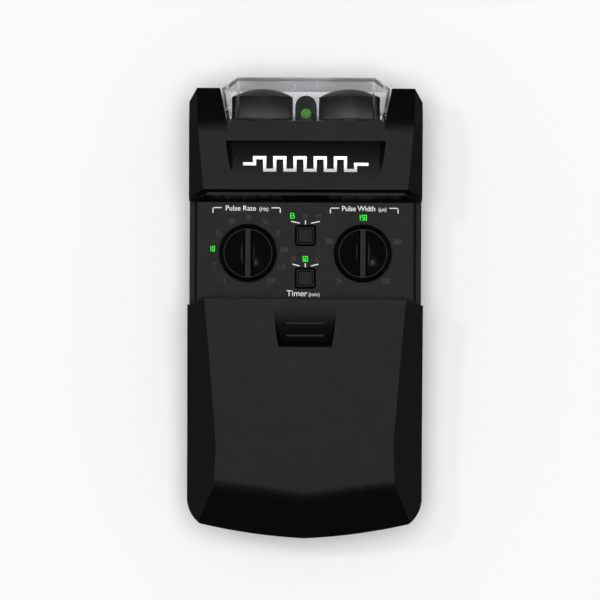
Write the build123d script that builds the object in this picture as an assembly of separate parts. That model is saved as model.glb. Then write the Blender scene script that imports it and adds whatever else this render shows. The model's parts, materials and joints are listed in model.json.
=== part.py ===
from build123d import *
import math
import os

# Handheld two-channel TENS unit, in millimetres, lying on its back with the control cover open.
# +Y points to the knob end and +Z to the control side. z = 0 is the outer face of the belt clip,
# and the whole unit is centred on x = 0 and on y = 0.

# Driving dimensions
HALF_WIDTH = 32.5            # head and rear housing
COVER_LAP = 0.35             # how far the sliding cover stands outside the rear housing
DECK_HALF_WIDTH = 30.85      # raised deck that the cover slides along
BACK_Z = 7.0                 # back of the rear housing
PARTING_Z = 18.0             # joint between the two housings
FRONT_Z = 30.5               # front facet of head and cover
WALL = 1.5
COVER_TRAVEL = 28.7          # from open to closed

# Levels that follow
FLOOR_Z = BACK_Z + 1.2
DECK_Z = 21.4
DECK_SKIN = 1.5
GROOVE_Z = (18.7, 20.1)      # guide grooves in the deck's sides
PANEL_Z = DECK_Z + 1.0
ROOF_Z = FRONT_Z - 2.2       # inside of the head's front wall
COVER_ROOF_Z = FRONT_Z - WALL
SKIRT_Z = PARTING_Z + 0.25   # lower edge of the sliding cover
SKIRT_INSET = 1.35           # from the housing's outline to the inside of the cover's skirt
FACET_WALL = 1.2             # the cover's side facets
DECK_CHAMFER = 0.5

# Facets shared by the head and the cover
FACET_SLOPE = 1.11           # drop per millimetre outwards
FACET_NORMAL_X = FACET_SLOPE / math.hypot(1.0, FACET_SLOPE)
HEAD_FACETS = ((28.0, 27.92), (63.0, 31.14))
COVER_FACETS = ((4.0, 28.21), (-38.2, 24.05), (-68.0, 24.75))
END_SLOPE = 0.4245           # the cover's lower facets, drop per millimetre of y
END_APEX_Y = -51.6
END_SWEEP = 4.1 / 24.5
CROWN_Y = -28.0              # where the cover's faint centre crease begins
CROWN_SLOPE_X = 0.016
CROWN_SLOPE_Y = 0.024

# Head
HEAD_END_Y = 29.7
SLOT_Y = 51.85               # end wall between the shoulders
SHOULDER_Y = 61.2
SLOT_HALF = 22.1             # shoulder gap at the end wall
SLOT_HALF_TIP = 24.0         # shoulder gap at the tips
SHOULDER_FALL_Y = 51.0
SHOULDER_SLOPE = 0.404
SHOULDER_BLEND = 15.0        # rounding where the shoulders begin to fall
SHOULDER_FACET = (30.1, 30.5)
RECESS_DEPTH = 1.5
RECESS_TOP_Y = 46.4
RECESS_BOTTOM_Y = 33.7
RECESS_ENDS = (  # (y, half-width at the front face, half-width at the floor)
    (RECESS_TOP_Y, 22.25, 20.7),
    (43.7, 21.9, 20.3),
    (41.1, 21.55, 19.85),
    (38.3, 20.95, 19.4),
    (35.6, 19.8, 19.0),
    (RECESS_BOTTOM_Y, 18.8, 18.7),
)
STEP_DEPTH = 2.0             # ledge along the head's lower end

# Cover's thumb scoop
SCOOP_Y = (-9.3, 1.4)
SCOOP_DEPTH = 2.2

# Controls
KNOB_X = 12.1
KNOB_Z = 17.6
KNOB_RADIUS = 8.4
KNOB_BASE_Y = 52.75
KNOB_SHOULDER_Y = 58.95
KNOB_TIP_Y = 61.3
DIAL_X = 16.04
DIAL_Y = 15.26
DIAL_RADIUS = 8.1
DIAL_Z = (22.6, 24.9)
DIAL_HUB_Z = 19.6
DIAL_CREST_RADIUS = 6.8
DIAL_DISH_RADIUS = 6.55
DIAL_BOWL = 29.0
DIAL_BOWL_SHIFT = 4.35
DIAL_BAR_HALF = 0.725        # half width of the grip bar's top
DIAL_BAR_LEAN = 0.49         # how much wider it gets per millimetre down
DIAL_HOLE_RADIUS = 4.6
SHAFT_RADIUS = 3.0           # intensity and dial shafts
BUTTON_Y = {"mode": 20.24, "timer": 8.33}
BUTTON_SIZE = 3.95
BUTTON_HOLE_RADIUS = 1.9
BEZEL_SIZE = 5.95
BEZEL_FOOT = 4.96
BEZEL_OPENING = 4.2
BUTTON_TRAVEL = 0.5
BUTTON_TOP_Z = 23.7
BUTTON_STEM_Z = 17.2
LED_Y = 54.0
LED_RADIUS = 1.5
LEGEND_RADIUS = 10.05
RATE_ANGLES = [229.0 - 27.9 * step for step in range(11)]
WIDTH_ANGLES = (229.0, 160.0, 90.0, 19.5, -50.0)

# Inside
BOARD_Z = (10.0, 11.6)
BATTERY_X = (-24.25, 22.15)
BATTERY_Y = (-26.2, 0.3)
BATTERY_Z = (8.3, 25.8)
TERMINAL_HEIGHT = 2.1
TERMINAL_OFFSET = 6.35       # each snap stud from the middle of the battery's end
JACK_X = 27.4
JACK_BORE = 1.25
JACK_NOSE = 2.0
BOSS_RADIUS = 2.4
SCREW_SPOTS = ((27.6, 46.0), (-27.6, 46.0), (20.0, -28.7), (-20.0, -28.7))

# Clear hood
HOOD_BASE_Y = 51.95
HOOD_TIP_Y = 64.18
HOOD_HALF = (21.9, 23.6, 19.1)   # half widths at the base, the shoulders and the tip
HOOD_FRONT_Z = FRONT_Z + 0.1
HOOD_FALL = 4.9              # how far its front face falls from base to tip
HOOD_REACH = HOOD_TIP_Y - HOOD_BASE_Y
HOOD_BACK_Z = 7.25
HOOD_WALL = 1.1
HOOD_CORNER = 1.6            # rounding about the hinge
HOOD_PIVOT = (HOOD_BASE_Y + HOOD_CORNER, HOOD_BACK_Z + HOOD_CORNER)
HOOD_PIN_RADIUS = 0.75

# Belt clip
CLIP_PIN = (33.0, 3.4)
CLIP_PIN_RADIUS = 1.0
CLIP_ARM_HALF = 11.0
CLIP_ARM_Y = (-20.0, 41.0)
CLIP_ARM_THICK = 1.8
CLIP_SCREW_Y = (28.9, 37.1)
CLIP_SCREW_RADIUS = 1.0


def block(x_range, y_range, z_range):
    """Box between the given low and high coordinates."""
    spans = [high - low for low, high in (x_range, y_range, z_range)]
    centre = [(low + high) / 2 for low, high in (x_range, y_range, z_range)]
    return Pos(*centre) * Box(*spans)


def prism(points, z_low, z_high):
    """Upright prism over a polygon of (x, y) corners."""
    face = Face(Wire.make_polygon([(x, y, z_low) for x, y in points]))
    return extrude(face, z_high - z_low, dir=(0, 0, 1))


def side_prism(points, x_low, x_high):
    """Prism along X over a polygon of (y, z) corners."""
    face = Face(Wire.make_polygon([(x_low, y, z) for y, z in points]))
    return extrude(face, x_high - x_low, dir=(1, 0, 0))


def rod(axis, centre, radius, low, high):
    """Cylinder along X, Y or Z; centre gives the other two coordinates in order."""
    length = high - low
    middle = (low + high) / 2
    if axis == "x":
        return Pos(middle, *centre) * Rot(0, 90, 0) * Cylinder(radius, length)
    if axis == "y":
        return Pos(centre[0], middle, centre[1]) * Rot(90, 0, 0) * Cylinder(radius, length)
    return Pos(*centre, middle) * Cylinder(radius, length)


def pair(shape):
    """The shape with its mirror image across x = 0."""
    return shape + mirror(shape, Plane.YZ)


def hull(points):
    """Convex solid symmetric in x over the given right-hand corners."""
    return ConvexPolyhedron([(side * x, y, z) for x, y, z in points for side in (-1, 1)])


def facet_cutter(stations, level, setback=0.0):
    """Everything outside the sloping side facets, right side, through (y, half width) stations."""
    reach = 12.0
    cutter = Part()
    for (y_a, half_a), (y_b, half_b) in zip(stations, stations[1:]):
        corners = []
        for y, half in ((y_a, half_a), (y_b, half_b)):
            edge = half + (FRONT_Z - level) / FACET_SLOPE - setback / FACET_NORMAL_X
            corners.append((edge - 3.0, y, level + 3.0 * FACET_SLOPE))
            corners.append((edge + reach, y, level - reach * FACET_SLOPE))
            corners.append((edge + reach, y, level + 3.0 * FACET_SLOPE))
        cutter += ConvexPolyhedron(corners)
    return cutter


def shoulder_cutter():
    """Everything outside the right side facet where the shoulder falls away."""
    reach = 8.0
    corners = []
    for y, half in ((SHOULDER_FALL_Y, SHOULDER_FACET[0]), (64.0, SHOULDER_FACET[1])):
        level = FRONT_Z - SHOULDER_SLOPE * (y - SHOULDER_FALL_Y)
        corners.append((half - 3.0, y, level + 3.0 * FACET_SLOPE))
        corners.append((half + reach, y, level - reach * FACET_SLOPE))
        corners.append((half + reach, y, level + 3.0 * FACET_SLOPE))
    return ConvexPolyhedron(corners)


def crown_cutter(top_z):
    """Everything above the cover's lower right half, which leans away from the centre crease."""
    corners = []
    for x in (0.0, 40.0):
        for y in (CROWN_Y + x * CROWN_SLOPE_X / CROWN_SLOPE_Y + 1.0, -80.0):
            level = top_z - CROWN_SLOPE_X * x + CROWN_SLOPE_Y * (y - CROWN_Y)
            corners.append((x, y, level))
            corners.append((x, y, top_z + 3.0))
    return ConvexPolyhedron(corners)


def end_cutter(setback=0.0):
    """Everything above the cover's lower right facet."""
    lift = -setback * math.hypot(1.0, END_SLOPE)
    low_y = -80.0
    corners = []
    for x in (0.0, 40.0):
        edge_y = END_APEX_Y + END_SWEEP * x
        corners.append((x, edge_y + 10.0, FRONT_Z + lift + 10.0 * END_SLOPE))
        corners.append((x, low_y, FRONT_Z + lift + (low_y - edge_y) * END_SLOPE))
        corners.append((x, low_y, FRONT_Z + 10.0))
    return ConvexPolyhedron(corners)


def cover_plan(top_y, shift, inset):
    """Plan face of the unit's lower end up to top_y, moved by shift and drawn inset smaller."""
    tip = (0.0, -63.83)
    corner = (28.86, -59.86)
    side = (HALF_WIDTH, -53.15)
    edges = [
        Line((0, top_y + inset), (HALF_WIDTH, top_y + inset)),
        Line((HALF_WIDTH, top_y + inset), side),
        TangentArc(side, corner, tangent=(0, -1)),
        ThreePointArc(corner, (15.0, -62.45), tip),
    ]
    edges += [mirror(edge, Plane.YZ) for edge in edges]
    face = make_face(edges)
    if inset:
        face = offset(face, -inset, kind=Kind.INTERSECTION)
    return Pos(0, shift, 0) * face


def head_plan(gap_play=0.0):
    """Plan corners of the head, with the gap for the hood between its shoulders."""
    right = [
        (HALF_WIDTH, HEAD_END_Y),
        (HALF_WIDTH, 57.3),
        (HALF_WIDTH - 2.2, SHOULDER_Y),
        (SLOT_HALF_TIP + gap_play, SHOULDER_Y),
        (SLOT_HALF + gap_play, SLOT_Y),
    ]
    return right + [(-x, y) for x, y in reversed(right)]


def plan_face(points):
    """Flat face over a polygon of (x, y) corners."""
    return make_face(Polyline(*points, close=True))


def legend_spots():
    """Where each back-lit legend stands on the panel."""
    spots = [(-3.7, 25.65), (0.0, 25.65), (3.6, 25.65), (-3.3, 13.7), (0.0, 13.7), (3.4, 13.7)]
    for dial_x, angles in ((-DIAL_X, RATE_ANGLES), (DIAL_X, WIDTH_ANGLES)):
        for angle in angles:
            turn = math.radians(angle)
            x = dial_x + LEGEND_RADIUS * math.cos(turn)
            y = DIAL_Y + LEGEND_RADIUS * math.sin(turn)
            spots.append((x, y))
    return spots


# ---------------------------------------------------------------- housings

def hood_pin_holes(radius):
    """Holes for the two hood pins in the shoulders."""
    return pair(rod("x", HOOD_PIVOT, radius, 21.0, 25.6))


def rear_housing():
    """Back tub with board posts, battery walls, screw bosses and the shoulders' back halves."""
    low_face = cover_plan(40.0 - COVER_TRAVEL, COVER_TRAVEL, 0.0)
    high_face = plan_face(head_plan(0.45))
    plan = low_face + high_face
    shell = extrude(plan, PARTING_Z - BACK_Z, dir=(0, 0, 1))
    shell = Pos(0, 0, BACK_Z) * shell
    shell = chamfer(shell.faces().sort_by(Axis.Z)[0].outer_wire().edges(), 0.5)
    cavity = extrude(offset(plan, -WALL, kind=Kind.INTERSECTION), PARTING_Z, dir=(0, 0, 1))
    shell -= Pos(0, 0, FLOOR_Z) * cavity
    shell += rear_ribs()
    for x, y in SCREW_SPOTS:
        shell += rod("z", (x, y), BOSS_RADIUS, FLOOR_Z - 0.2, PARTING_Z)
    for y in CLIP_SCREW_Y:
        shell += rod("z", (0, y), BOSS_RADIUS, FLOOR_Z - 0.2, BOARD_Z[0] - 0.2)
        shell -= rod("z", (0, y), CLIP_SCREW_RADIUS, BACK_Z - 1, BOARD_Z[0] - 0.4)
    for x, y in SCREW_SPOTS:
        shell -= rod("z", (x, y), 1.8, BACK_Z - 1, BACK_Z + 1.9)
        shell -= rod("z", (x, y), 1.2, BACK_Z, PARTING_Z + 1)
    shell -= hood_pin_holes(HOOD_PIN_RADIUS)
    shell -= end_wall_holes()
    return shell


def rear_ribs():
    """Battery bay walls with a notch for the leads, and four posts under the board."""
    ribs = block((-31.2, 31.2), (0.9, 2.1), (FLOOR_Z - 0.2, PARTING_Z))
    ribs += block((-26.5, 26.5), (-27.7, -26.7), (FLOOR_Z - 0.2, PARTING_Z))
    ribs += block((-26.0, -24.8), (-27.0, 1.5), (FLOOR_Z - 0.2, PARTING_Z))
    ribs -= block((22.6, 26.4), (0.0, 3.0), (14.0, PARTING_Z + 1))
    for x, y in ((25.0, 5.0), (-25.0, 5.0), (22.5, 47.0), (-22.5, 47.0)):
        ribs += rod("z", (x, y), 1.6, FLOOR_Z - 0.2, BOARD_Z[0])
    return ribs


def end_wall_holes():
    """Openings shared by both housings for the pot bushings and the jack noses."""
    holes = pair(rod("y", (KNOB_X, KNOB_Z), 3.6, 49.0, 53.0))
    holes += pair(rod("y", (JACK_X, PARTING_Z), JACK_NOSE + 0.1, 58.0, 62.0))
    return holes


def shoulder_profile(drop, x_low, x_high):
    """Cutter over the falling shoulders, drop below their outer face."""
    level = FRONT_Z - drop
    tip_y = SHOULDER_Y + 0.15
    tip_z = level - SHOULDER_SLOPE * (tip_y - SHOULDER_FALL_Y)
    points = [
        (x_low, 40.0, level),
        (x_low, SHOULDER_FALL_Y, level),
        (x_low, tip_y, tip_z),
        (x_low, tip_y, tip_z - 1.6),
    ]
    top = [(x_low, 66.0, tip_z - 1.6), (x_low, 66.0, FRONT_Z + 2), (x_low, 40.0, FRONT_Z + 2)]
    outline = [FilletPolyline(*points, radius=[SHOULDER_BLEND, 1.3])]
    outline.append(Polyline(points[-1], *top, points[0]))
    return extrude(make_face(outline), x_high - x_low, dir=(1, 0, 0))


def head_layer(setback):
    """Head between its side facets, with everything drawn setback inside the outer faces."""
    layer = prism(head_plan(), PARTING_Z, FRONT_Z - setback)
    return layer - pair(facet_cutter(HEAD_FACETS, FRONT_Z - setback, setback))


def below_slope(low_y, high_y, low_z, high_z):
    """Everything on the cover's side of a leaning plane through two (y, z) points."""
    run = (high_y - low_y) / (high_z - low_z)
    corners = [
        (low_y - run * 10.0, low_z - 10.0),
        (high_y + run * 10.0, high_z + 10.0),
        (low_y - 20.0, high_z + 10.0),
        (low_y - 20.0, low_z - 10.0),
    ]
    return side_prism(corners, -40.0, 40.0)


def head_block():
    """Solid head with its side facets, sloping shoulders and stepped lower end."""
    outer = head_layer(0.0) - below_slope(31.0, 32.9, 26.0, FRONT_Z)
    inner = head_layer(STEP_DEPTH) - below_slope(29.75, 31.3, PANEL_Z, FRONT_Z - STEP_DEPTH)
    head = outer + inner
    head -= pair(shoulder_cutter())
    head -= pair(shoulder_profile(0.0, 21.9, 40.0))
    return head


def recess_floor():
    """Round body whose skin is the recess floor, flush at its lower edge and deepest at the top."""
    length = RECESS_TOP_Y - RECESS_BOTTOM_Y
    radius = (length ** 2 + RECESS_DEPTH ** 2) / (2 * RECESS_DEPTH)
    return rod("x", (RECESS_BOTTOM_Y, FRONT_Z - radius), radius, -40.0, 40.0)


def recess_section(y, outer, foot):
    """Right-hand corners of the recess across the head at one y, reaching just below its floor."""
    along = (y - RECESS_BOTTOM_Y) / (RECESS_TOP_Y - RECESS_BOTTOM_Y)
    floor_z = FRONT_Z - RECESS_DEPTH * along ** 2
    return [(outer, y, FRONT_Z + 0.3), (outer, y, FRONT_Z), (foot, y, floor_z - 0.1)]


def recess_cutter():
    """Recess for the emblem, with leaning end walls that curve in towards its foot."""
    walls = Part()
    for upper, lower in zip(RECESS_ENDS, RECESS_ENDS[1:]):
        walls += hull(recess_section(*upper) + recess_section(*lower))
    return walls - recess_floor()


def head_cavity():
    """Room inside the head and its shoulders."""
    plan = offset(plan_face(head_plan()), -WALL - 0.1, kind=Kind.INTERSECTION)
    room = Pos(0, 0, PARTING_Z - 1) * extrude(plan, ROOF_Z - PARTING_Z + 1, dir=(0, 0, 1))
    room -= pair(facet_cutter(HEAD_FACETS, ROOF_Z, WALL))
    room -= pair(shoulder_profile(WALL * math.hypot(1.0, SHOULDER_SLOPE), 21.9, 40.0))
    room -= block((-23.5, 23.5), (39.0, RECESS_TOP_Y + WALL), (FRONT_Z - RECESS_DEPTH - 1.3, FRONT_Z))
    deck_level = DECK_Z - 0.9
    slope = [(28.0, deck_level), (31.3, deck_level), (34.2, ROOF_Z + 1), (28.0, ROOF_Z + 1)]
    room -= side_prism(slope, -40.0, 40.0)
    return room


def deck():
    """Raised deck under the panel and round the battery, with the cover's guide grooves."""
    plan = cover_plan(HEAD_END_Y - COVER_TRAVEL + 1.0, COVER_TRAVEL, HALF_WIDTH - DECK_HALF_WIDTH)
    slab = Pos(0, 0, PARTING_Z) * extrude(plan, DECK_Z - PARTING_Z, dir=(0, 0, 1))
    slab = chamfer(slab.faces().sort_by(Axis.Z)[-1].edges(), DECK_CHAMFER)
    slab -= pair(block((DECK_HALF_WIDTH - 1.0, 40), (-40, HEAD_END_Y - 0.05), GROOVE_Z))
    slab -= block((-28.35, 28.35), (2.1, 31.0), (PARTING_Z - 1, DECK_Z - DECK_SKIN))
    slab -= block((-24.75, 27.0), (-26.7, 0.8), (PARTING_Z - 1, DECK_Z + 1))
    return slab


def front_housing():
    """Head, shoulders and deck in one moulding."""
    shell = head_block() + deck()
    shell -= head_cavity()
    shell -= block((-28.35, 28.35), (20.0, 34.0), (PARTING_Z - 1, DECK_Z - DECK_SKIN))
    for x, y in SCREW_SPOTS[:2]:
        shell += rod("z", (x, y), BOSS_RADIUS, PARTING_Z, ROOF_Z + 0.3)
    for x, y in SCREW_SPOTS:
        shell -= rod("z", (x, y), 1.1, PARTING_Z - 1, DECK_Z - 1.4)
    shell -= recess_cutter()
    shell -= end_wall_holes()
    for x, y in legend_spots():
        shell -= block((x - 1.0, x + 1.0), (y - 0.8, y + 0.8), (19.0, DECK_Z + 1))
    for x in (-DIAL_X, DIAL_X):
        shell -= rod("z", (x, DIAL_Y), DIAL_HOLE_RADIUS, 19.0, DECK_Z + 1)
    for y in BUTTON_Y.values():
        shell -= rod("z", (0, y), BUTTON_HOLE_RADIUS, 19.0, DECK_Z + 1)
    return shell


def control_panel():
    """Dead-front panel plate with holes for the dial hubs and the bezels."""
    half = DECK_HALF_WIDTH - DECK_CHAMFER
    plate = block((-half, half), (1.4, 29.6), (DECK_Z, PANEL_Z))
    plate = chamfer(plate.faces().sort_by(Axis.Z)[-1].edges(), 0.15)
    notch = block((25.9, 31.0), (1.0, 2.8), (DECK_Z - 1, PANEL_Z + 1))
    plate -= pair(notch)
    for x in (-DIAL_X, DIAL_X):
        plate -= rod("z", (x, DIAL_Y), DIAL_HOLE_RADIUS, DECK_Z - 1, PANEL_Z + 1)
    for y in BUTTON_Y.values():
        plate -= block((-2.5, 2.5), (y - 2.5, y + 2.5), (DECK_Z - 1, PANEL_Z + 1))
    return plate


def pulse_emblem():
    """Raised pulse-train ornament lying on the recess floor of the head."""
    centre_y = 39.9
    along = (centre_y - RECESS_BOTTOM_Y) / (RECESS_TOP_Y - RECESS_BOTTOM_Y)
    slope = 2 * RECESS_DEPTH * along / (RECESS_TOP_Y - RECESS_BOTTOM_Y)
    centre_z = FRONT_Z - RECESS_DEPTH * along ** 2
    high = 1.75
    step = 2.8
    points = [(-17.4, 0.0), (-14.2, 0.0)]
    x = -14.2
    for index in range(10):
        level = high if index % 2 == 0 else -high
        points += [(x, level), (x + step, level)]
        x += step
    points += [(x, 0.0), (17.4, 0.0)]
    stroke = trace(Polyline(*points), line_width=0.9)
    raised = Pos(0, 0, -0.2) * extrude(stroke, 0.42, dir=(0, 0, 1))
    tilt = -math.degrees(math.atan(slope))
    return Pos(0, centre_y, centre_z) * Rot(tilt, 0, 0) * raised - recess_floor()


# ---------------------------------------------------------------- sliding cover

def thumb_bump():
    """Inner wall under the thumb scoop."""
    return hull([(7.6, -10.4, 26.9), (9.6, -4.0, 29.2), (9.0, -13.0, 29.2), (7.6, -7.5, 26.9)])


def scoop_drop(y):
    """Depth of the scoop floor below the front facet."""
    return SCOOP_DEPTH * ((SCOOP_Y[1] - y) / (SCOOP_Y[1] - SCOOP_Y[0])) ** 2


def thumb_scoop():
    """Scoop flush at its upper edge, whose floor rolls down to a steep lower wall."""
    low_y, high_y = SCOOP_Y
    length = high_y - low_y
    radius = (length ** 2 + SCOOP_DEPTH ** 2) / (2 * SCOOP_DEPTH)
    walls = hull([
        (6.0, low_y + 0.6, FRONT_Z - 3.0),
        (8.4, low_y - 2.9, FRONT_Z + 2.0),
        (7.7, high_y + 1.0, FRONT_Z - 3.0),
        (9.8, high_y + 1.0, FRONT_Z + 2.0),
    ])
    corners = [e for e in walls.edges() if e.length > 5.5 and (e @ 0.5).Y < low_y]
    walls = fillet(corners, 0.9)
    return walls - rod("x", (high_y, FRONT_Z - radius), radius, -40.0, 40.0)


def thumb_ribs():
    """Two grip ribs with level tops on the scoop floor."""
    ribs = Part()
    for y in (-4.2, -7.6):
        top_z = FRONT_Z - scoop_drop(y) + 0.22
        ribs += block((-5.2, 5.2), (y - 0.25, y + 0.25), (top_z - 1.0, top_z))
    return ribs


def sliding_cover():
    """Faceted cover that slides down off the panel, held by ribs in the deck's grooves."""
    plan = cover_plan(4.0, 0, -COVER_LAP)
    body = Pos(0, 0, SKIRT_Z) * extrude(plan, FRONT_Z - SKIRT_Z, dir=(0, 0, 1))
    body -= pair(facet_cutter(COVER_FACETS, FRONT_Z))
    body -= pair(end_cutter())
    body -= pair(crown_cutter(FRONT_Z))
    crease = [e for e in body.edges() if e.length > 20.0 and (e @ 0.5).Y < -49.0
              and min((e @ 0).Z, (e @ 1).Z) > FRONT_Z - 1.2]
    body = fillet(crease, 12.0)
    room_plan = cover_plan(6.0, 0, SKIRT_INSET)
    room = Pos(0, 0, SKIRT_Z - 1) * extrude(room_plan, COVER_ROOF_Z - SKIRT_Z + 1, dir=(0, 0, 1))
    room -= pair(facet_cutter(COVER_FACETS, COVER_ROOF_Z, FACET_WALL))
    room -= pair(crown_cutter(COVER_ROOF_Z))
    room -= pair(end_cutter(WALL))
    body -= room
    body += thumb_bump()
    body -= thumb_scoop()
    body += thumb_ribs()
    rib_x = (DECK_HALF_WIDTH - 0.7, HALF_WIDTH - 1.0)
    body += pair(block(rib_x, (-50.0, 4.0), (GROOVE_Z[0] + 0.25, GROOVE_Z[1] - 0.25)))
    lip = [(0.85, 0.0), (0.85, 26.0), (2.45, FRONT_Z), (2.8, 31.5), (10.0, 31.5), (10.0, 0.0)]
    return body - side_prism(lip, -40.0, 40.0)


# ---------------------------------------------------------------- hood and output end

def hood_block(inset, base_y):
    """Hood form drawn inset smaller, starting at base_y."""
    base_half, shoulder_half, tip_half = HOOD_HALF
    right = [
        (base_half - inset, base_y),
        (base_half - inset, HOOD_BASE_Y),
        (shoulder_half - inset, SHOULDER_Y - 0.4 * inset),
        (tip_half - 0.4 * inset, HOOD_TIP_Y - inset),
    ]
    if base_y == HOOD_BASE_Y:
        right = right[1:]
    outline = right + [(-x, y) for x, y in reversed(right)]
    back_z = HOOD_BACK_Z + (WALL if inset else 0.0)
    shape = prism(outline, back_z, HOOD_FRONT_Z)
    slope = HOOD_FALL / HOOD_REACH
    low_y = HOOD_BASE_Y - 12.0
    high_y = HOOD_TIP_Y + 6.0
    lowered = inset * math.hypot(1.0, slope)
    front = [
        (low_y, HOOD_FRONT_Z - lowered - slope * (low_y - HOOD_BASE_Y)),
        (high_y, HOOD_FRONT_Z - lowered - slope * (high_y - HOOD_BASE_Y)),
        (high_y, FRONT_Z + 10.0),
        (low_y, FRONT_Z + 10.0),
    ]
    shape -= side_prism(front, -40.0, 40.0)
    tip_z = HOOD_FRONT_Z - HOOD_FALL
    taper = [
        (HOOD_TIP_Y - inset, tip_z),
        (HOOD_TIP_Y - inset + 2.5, tip_z),
        (HOOD_TIP_Y - inset + 2.5, HOOD_BACK_Z - 1),
        (HOOD_TIP_Y - inset - 2.33, HOOD_BACK_Z - 1),
    ]
    shape -= side_prism(taper, -40.0, 40.0)
    corner = []
    for y in (low_y, high_y):
        z = HOOD_FRONT_Z - inset * math.sqrt(2.0) - slope * (y - HOOD_BASE_Y)
        corner += [(16.0, y, z + 3.0), (30.0, y, z - 11.0), (30.0, y, z + 3.0)]
    shape -= pair(ConvexPolyhedron(corner))
    return shape


def clear_hood():
    """Clear guard over the intensity knobs, hinged at the back between the shoulders."""
    shell = hood_block(0.0, HOOD_BASE_Y)
    edge = [e for e in shell.edges().filter_by(Axis.X)
            if abs(e.center().Y - HOOD_BASE_Y) < 0.01 and abs(e.center().Z - HOOD_BACK_Z) < 0.01]
    shell = fillet(edge, HOOD_CORNER)
    shell -= hood_block(HOOD_WALL, 40.0)
    shell -= block((-18.4, 18.4), (HOOD_BASE_Y - 1, HOOD_PIVOT[0] + 0.4), (HOOD_BACK_Z - 1, 12.0))
    shell += pair(rod("x", HOOD_PIVOT, HOOD_CORNER, 19.6, 21.3))
    shell -= pair(rod("x", HOOD_PIVOT, HOOD_PIN_RADIUS + 0.05, 18.0, 24.0))
    return shell


def hood_pins():
    """Two short steel pins that carry the hood."""
    return pair(rod("x", HOOD_PIVOT, HOOD_PIN_RADIUS, 19.8, 25.4))


def led_post():
    """Arched post between the knobs that holds the output LED."""
    half = 2.95
    top_y = 59.1
    base = block((-half, half), (SLOT_Y, top_y - half), (15.5, 25.5))
    post = base + rod("z", (0, top_y - half), half, 15.5, 25.5)
    return post - rod("z", (0, LED_Y), LED_RADIUS + 0.05, 20.0, 26.0)


def output_led():
    """3 mm LED with its domed lens facing the front."""
    top_z = 25.9
    led = rod("z", (0, LED_Y), LED_RADIUS, 21.0, top_z)
    return led + Pos(0, LED_Y, top_z) * Sphere(LED_RADIUS)


def intensity_knob(side):
    """Domed intensity knob with a base flange and an index groove on its end."""
    x = side * KNOB_X
    rise = KNOB_TIP_Y - KNOB_SHOULDER_Y
    dome = (KNOB_RADIUS ** 2 + rise ** 2) / (2 * rise)
    knob = rod("y", (x, KNOB_Z), KNOB_RADIUS, KNOB_BASE_Y, KNOB_TIP_Y)
    knob &= Pos(x, KNOB_TIP_Y - dome, KNOB_Z) * Sphere(dome)
    knob += rod("y", (x, KNOB_Z), KNOB_RADIUS + 0.05, KNOB_BASE_Y, KNOB_BASE_Y + 0.7)
    knob -= rod("y", (x, KNOB_Z), SHAFT_RADIUS + 0.02, KNOB_BASE_Y - 1, 57.6)
    knob -= block((x - 0.4, x + 0.4), (59.6, 62.0), (KNOB_Z - 9.0, KNOB_Z - 2.0))
    return knob


def intensity_pot(side):
    """Potentiometer body with its bushing and three terminals on the board."""
    x = side * KNOB_X
    pot = block((x - 5.0, x + 5.0), (41.6, 48.6), (BOARD_Z[1] + 0.4, 23.2))
    pot += rod("y", (x, KNOB_Z), 3.4, 48.5, SLOT_Y)
    pot -= rod("y", (x, KNOB_Z), SHAFT_RADIUS + 0.08, 46.0, 53.0)
    for offset_x in (-2.5, 0.0, 2.5):
        centre = x + offset_x
        pot += block((centre - 0.4, centre + 0.4), (42.5, 43.0), (BOARD_Z[1], BOARD_Z[1] + 0.5))
    return pot


def intensity_shaft(side):
    """Shaft that turns with an intensity knob."""
    return rod("y", (side * KNOB_X, KNOB_Z), SHAFT_RADIUS, 46.3, 57.4)


def output_jack(side):
    """Moulded lead socket clamped between the two shoulder halves."""
    centre = (side * JACK_X, PARTING_Z)
    jack = rod("y", centre, JACK_NOSE, 51.5, SHOULDER_Y + 0.1)
    jack += rod("y", centre, JACK_NOSE + 0.2, 55.0, 57.0)
    return jack - rod("y", centre, JACK_BORE + 0.25, 52.5, 62.0)


def jack_contact(side):
    """Brass sleeve inside a lead socket, with its solder tail."""
    centre = (side * JACK_X, PARTING_Z)
    sleeve = rod("y", centre, JACK_BORE + 0.25, 52.5, 60.4)
    sleeve -= rod("y", centre, JACK_BORE, 52.9, 62.0)
    return sleeve


# ---------------------------------------------------------------- dials and buttons

def dial_half(side):
    """Hollow on one side of a dial's grip bar, deepest along the foot of the bar."""
    low, high = DIAL_Z
    far = DIAL_DISH_RADIUS + DIAL_BOWL_SHIFT
    bowl_z = high + math.sqrt(DIAL_BOWL ** 2 - far ** 2)
    bowl = Pos(-side * DIAL_BOWL_SHIFT, 0, bowl_z) * Sphere(DIAL_BOWL)
    bowl &= rod("z", (0, 0), DIAL_DISH_RADIUS, low, high + 1)
    beside_bar = []
    for z in (high + 1, low):
        foot = DIAL_BAR_HALF + DIAL_BAR_LEAN * (high - z)
        beside_bar.append((side * foot, -DIAL_RADIUS, z))
        beside_bar.append((side * 10.0, -DIAL_RADIUS, z))
    corners = [beside_bar[0], beside_bar[1], beside_bar[3], beside_bar[2]]
    face = Face(Wire.make_polygon(corners))
    return bowl & extrude(face, 2 * DIAL_RADIUS, dir=(0, 1, 0))


def dial(x):
    """Dial with a bevelled rim, two hollows beside its grip bar and a hub over the shaft."""
    low, high = DIAL_Z
    rim = DIAL_RADIUS - DIAL_CREST_RADIUS
    disc = rod("z", (0, 0), DIAL_RADIUS, low, high)
    disc = chamfer(disc.faces().sort_by(Axis.Z)[-1].edges(), length=0.9 * rim, length2=rim)
    for side in (-1, 1):
        disc -= dial_half(side)
    disc += rod("z", (0, 0), DIAL_HOLE_RADIUS - 0.4, DIAL_HUB_Z, low)
    disc -= rod("z", (0, 0), SHAFT_RADIUS, DIAL_HUB_Z - 1, low - 0.2)
    return Pos(x, DIAL_Y, 0) * disc


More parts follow.
